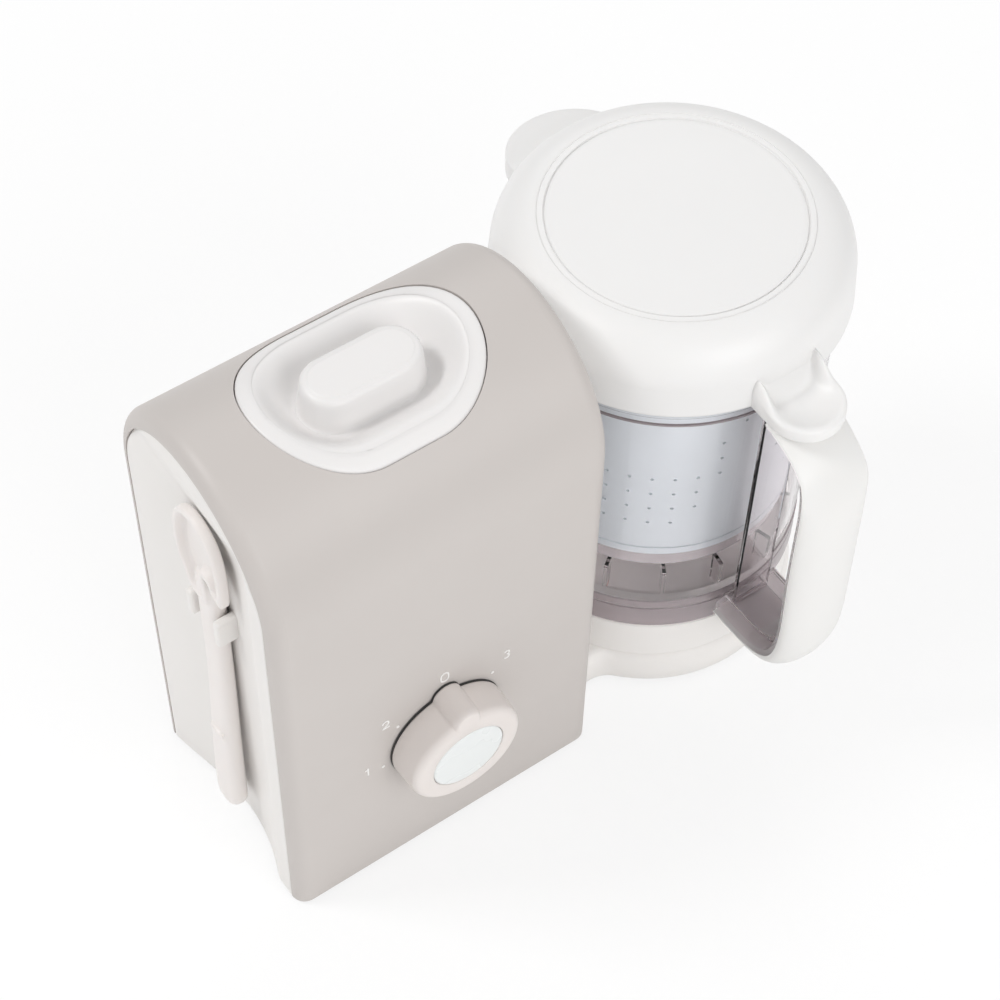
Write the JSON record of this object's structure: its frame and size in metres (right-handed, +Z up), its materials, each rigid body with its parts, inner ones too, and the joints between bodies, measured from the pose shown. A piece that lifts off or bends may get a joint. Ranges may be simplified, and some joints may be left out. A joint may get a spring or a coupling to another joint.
{
  "type": "baby food maker",
  "caption": "Countertop baby food maker: an upright housing with water tank and control knob beside a clear lidded blending jug with a steam basket.",
  "frame": {"origin": "on the table at the centre of the plan outline", "axes": "+X from the housing to the jug, -Y to the front with the knob and the jug's handle, +Z up"},
  "size_m": [0.2888, 0.202, 0.245],
  "materials": {
    "taupe_plastic": "satin",
    "panel_plastic": "satin",
    "lid_plastic": "satin",
    "cap_plastic": "satin",
    "knob_plastic": "satin",
    "disc_plastic": "gloss",
    "base_plastic": "satin",
    "cover_plastic": "matt",
    "foot_rubber": "matt",
    "screw_steel": "satin",
    "tank_steel": "satin",
    "heater_steel": "satin",
    "thermostat_metal": "satin",
    "seal_rubber": "matt",
    "tube_rubber": "matt",
    "outlet_plastic": "satin",
    "frame_plastic": "matt",
    "motor_steel": "satin",
    "cap_black": "matt",
    "winding_copper": "satin",
    "shaft_steel": "satin",
    "bearing_steel": "satin",
    "fan_plastic": "matt",
    "pulley_plastic": "satin",
    "belt_rubber": "matt",
    "coupling_plastic": "satin",
    "switch_plastic": "matt",
    "print_white": "matt",
    "board_laminate": "satin",
    "component_plastic": "satin",
    "plunger_plastic": "satin",
    "gland_rubber": "matt",
    "jug_clear": "gloss",
    "handle_plastic": "satin",
    "bush_plastic": "satin",
    "seal_red": "matt",
    "hub_plastic": "satin",
    "blade_steel": "satin",
    "basket_plastic": "satin",
    "spatula_plastic": "satin",
    "liner_plastic": "satin"
  },
  "bodies": {
    "base": {"housing_shell": "taupe_plastic", "left_side_panel": "panel_plastic", "right_side_panel": "panel_plastic", "base_tray": "base_plastic", "jug_seat": "base_plastic", "bottom_cover": "cover_plastic", "rubber_feet": "foot_rubber", "cover_screws": "screw_steel", "boiler_tank": "tank_steel", "heating_element": "heater_steel", "thermostats": "thermostat_metal", "steam_tube": "tube_rubber", "steam_outlet": "outlet_plastic", "steam_outlet_seal": "seal_rubber", "inner_frame": "frame_plastic", "motor_can": "motor_steel", "motor_end_cap": "cap_black", "motor_bearings": "bearing_steel", "drive_belt": "belt_rubber", "drive_bearings": "bearing_steel", "rotary_switch": "switch_plastic", "dial_marks": "print_white", "circuit_board": "board_laminate", "board_components": "component_plastic", "interlock_switch": "component_plastic", "cable_gland": "gland_rubber"},
    "tank_cap": {"tank_lid": "cap_plastic", "tank_lid_seal": "seal_rubber"},
    "dial": {"control_knob": "knob_plastic", "knob_disc": "disc_plastic", "knob_shaft": "pulley_plastic"},
    "motor": {"armature": "winding_copper", "motor_shaft": "shaft_steel", "cooling_fan": "fan_plastic", "motor_pulley": "cap_black"},
    "drive": {"driven_pulley": "pulley_plastic", "drive_shaft": "shaft_steel", "drive_coupling": "coupling_plastic"},
    "plunger": {"interlock_plunger": "plunger_plastic"},
    "jug": {"jug_body": "jug_clear", "handle_liner": "jug_clear", "handle_cover": "handle_plastic", "blade_bush": "bush_plastic", "blade_seal": "seal_red"},
    "blade": {"blade_coupling": "coupling_plastic", "blade_shaft": "shaft_steel", "blade_hub": "hub_plastic", "blades": "blade_steel"},
    "basket": {"steam_basket": "basket_plastic"},
    "lid": {"lid_shell": "lid_plastic", "lid_top_disc": "lid_plastic", "lid_liner": "liner_plastic", "lid_seal": "seal_rubber"},
    "spatula": {"spatula": "spatula_plastic"}
  },
  "joints": [
    {"name": "knob_turn", "type": "hinge", "parent": "base", "child": "dial", "pos_m": [-0.0711, -0.05, 0.077], "axis": [0, 1, 0], "range_deg": [-97, 50]},
    {"name": "motor_spin", "type": "hinge", "parent": "base", "child": "motor", "pos_m": [-0.0698, 0.014, 0.05], "axis": [0, 0, 1], "continuous": true},
    {"name": "drive_spin", "type": "hinge", "parent": "base", "child": "drive", "pos_m": [0.0741, 0.01, 0.03], "axis": [0, 0, 1], "continuous": true},
    {"name": "blade_spin", "type": "hinge", "parent": "jug", "child": "blade", "pos_m": [0.0741, 0.01, 0.06], "axis": [0, 0, 1], "continuous": true},
    {"name": "jug_lift", "type": "slide", "parent": "base", "child": "jug", "axis": [0, 0, 1], "range_m": [0, 0.08]},
    {"name": "lid_lift", "type": "slide", "parent": "jug", "child": "lid", "axis": [0, 0, 1], "range_m": [0, 0.2]},
    {"name": "basket_lift", "type": "slide", "parent": "jug", "child": "basket", "axis": [0, 0, 1], "range_m": [0, 0.1]},
    {"name": "tank_lid_lift", "type": "slide", "parent": "base", "child": "tank_cap", "axis": [0, 0, 1], "range_m": [0, 0.06]},
    {"name": "spatula_pull", "type": "slide", "parent": "base", "child": "spatula", "axis": [-1, 0, 0], "range_m": [0, 0.05]},
    {"name": "plunger_press", "type": "slide", "parent": "base", "child": "plunger", "axis": [0, 0, -1], "range_m": [0, 0.002], "stiffness_N_per_m": 150}
  ],
  "couplings": [
    {"joint": "drive_spin", "follows": "motor_spin", "ratio": 0.3333},
    {"joint": "blade_spin", "follows": "motor_spin", "ratio": 0.3333},
    {"joint": "basket_lift", "follows": "lid_lift", "ratio": 0.5}
  ]
}
